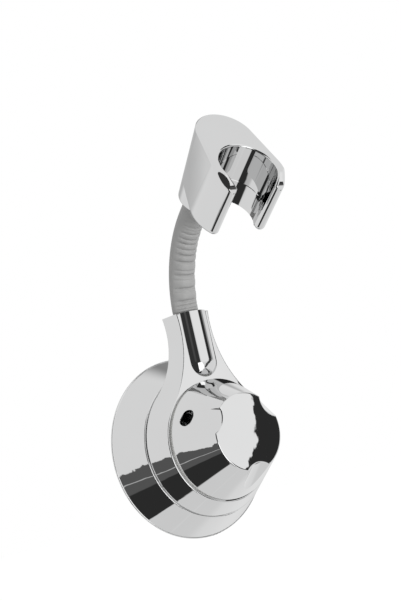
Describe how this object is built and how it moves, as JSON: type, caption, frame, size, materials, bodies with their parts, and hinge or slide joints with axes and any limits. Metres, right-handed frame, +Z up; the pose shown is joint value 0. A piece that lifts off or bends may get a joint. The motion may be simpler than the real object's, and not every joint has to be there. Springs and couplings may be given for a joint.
{
  "type": "hand shower holder",
  "caption": "Suction-mounted hand shower holder: conical chrome base with a hand knob, swivelling arm, bendable gooseneck and an open C-shaped cradle for the handset.",
  "frame": {"origin": "middle of the wall face, on the base's axis", "axes": "+Z up along the arm's neck, -Y out of the wall, +X to the right seen from the front"},
  "size_m": [0.08, 0.0952, 0.1674],
  "materials": {
    "chrome": "polished plating on plastic",
    "hose_vinyl": "matt, ribbed",
    "cup_rubber": "smooth soft vinyl",
    "washer_nylon": "plain moulded",
    "steel": "turned",
    "black_steel": "blackened",
    "brass": "turned",
    "soft_aluminium": "drawn rod"
  },
  "bodies": {
    "base": {"base_cover": "chrome", "suction_cup": "cup_rubber", "rear_washer": "washer_nylon"},
    "stud": {"cup_stud": "steel", "stud_clip": "steel"},
    "arm": {"arm": "chrome", "front_washer": "washer_nylon", "lower_ferrule": "brass", "lower_pin": "steel"},
    "knob": {"knob": "chrome", "knob_bush": "brass", "grub_screw": "black_steel"},
    "gooseneck": {"gooseneck_sleeve": "hose_vinyl", "gooseneck_core": "soft_aluminium"},
    "cradle": {"cradle": "chrome", "upper_ferrule": "brass", "upper_pin": "steel"}
  },
  "joints": [
    {"name": "knob_turn", "type": "hinge", "parent": "base", "child": "knob", "pos_m": [0, 0, 0], "axis": [0, 1, 0], "range_deg": [0, 1080]},
    {"name": "stud_pull", "type": "slide", "parent": "base", "child": "stud", "axis": [0, -1, 0], "range_m": [0, 0.00375], "deforming": ["suction_cup"]},
    {"name": "arm_swivel", "type": "hinge", "parent": "base", "child": "arm", "pos_m": [0, 0, 0], "axis": [0, 1, 0], "continuous": true},
    {"name": "lower_bend", "type": "hinge", "parent": "arm", "child": "gooseneck", "pos_m": [-0.00019, -0.02316, 0.06972], "axis": [0.9974, -0.0724, 0], "range_deg": [-30, 15], "deforming": ["gooseneck_sleeve", "gooseneck_core"]},
    {"name": "upper_bend", "type": "hinge", "parent": "gooseneck", "child": "cradle", "pos_m": [-0.00136, -0.03927, 0.09141], "axis": [0.9974, -0.0724, 0], "range_deg": [-30, 15], "deforming": ["gooseneck_sleeve", "gooseneck_core"]}
  ],
  "couplings": [
    {"joint": "stud_pull", "follows": "knob_turn", "m_per_rad": 0.00019894}
  ]
}
